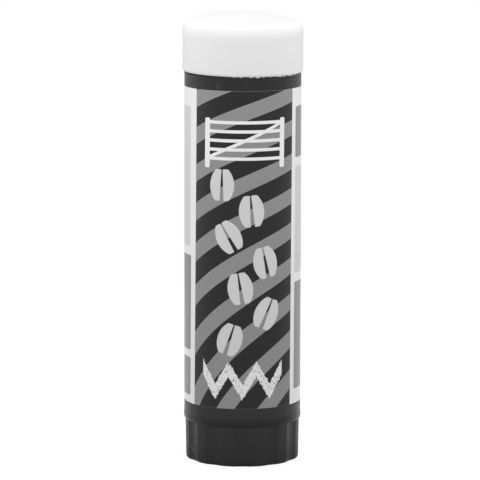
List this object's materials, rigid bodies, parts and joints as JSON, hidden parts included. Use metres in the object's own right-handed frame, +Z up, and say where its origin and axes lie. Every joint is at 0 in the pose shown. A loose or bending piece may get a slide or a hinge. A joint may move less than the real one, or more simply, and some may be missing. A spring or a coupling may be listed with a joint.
{
  "type": "animal marking crayon",
  "caption": "Twist-up marking crayon for livestock: a thick wax stick in a black plastic tube with a fluted foot knob, a wrap label and a white domed cap.",
  "frame": {"origin": "centre of the ring on the knob's underside that the crayon stands on", "axes": "+Z up along the tube's axis, towards the cap; -Y towards the front of the label; +X to the viewer's right"},
  "size_m": [0.035, 0.035, 0.1313],
  "materials": {
    "barrel_plastic": "black polypropylene with a soft moulded gloss",
    "knob_plastic": "black polypropylene, a little more matt than the tube, scuffed at the lands",
    "cap_plastic": "white polypropylene, satin",
    "label_film": "printed film wrap in black, greys and white, satin",
    "natural_plastic": "undyed, slightly milky moulded plastic",
    "wax": "white pigmented paraffin wax, waxy sheen"
  },
  "bodies": {
    "tube": {"barrel": "barrel_plastic", "label": "label_film"},
    "knob": {"twist_knob": "knob_plastic", "lead_screw": "natural_plastic"},
    "stick": {"carrier": "natural_plastic", "wax_crayon": "wax"},
    "cap": {"cap": "cap_plastic"}
  },
  "joints": [
    {"name": "knob_turn", "type": "hinge", "parent": "tube", "child": "knob", "pos_m": [0, 0, 0], "axis": [0, 0, 1], "range_deg": [0, 3960]},
    {"name": "stick_rise", "type": "slide", "parent": "tube", "child": "stick", "axis": [0, 0, 1], "range_m": [0, 0.0885]},
    {"name": "cap_pull", "type": "slide", "parent": "stick", "child": "cap", "axis": [0, 0, 1], "range_m": [0, 0.06]}
  ],
  "couplings": [
    {"joint": "stick_rise", "follows": "knob_turn", "m_per_rad": 0.0012732}
  ]
}
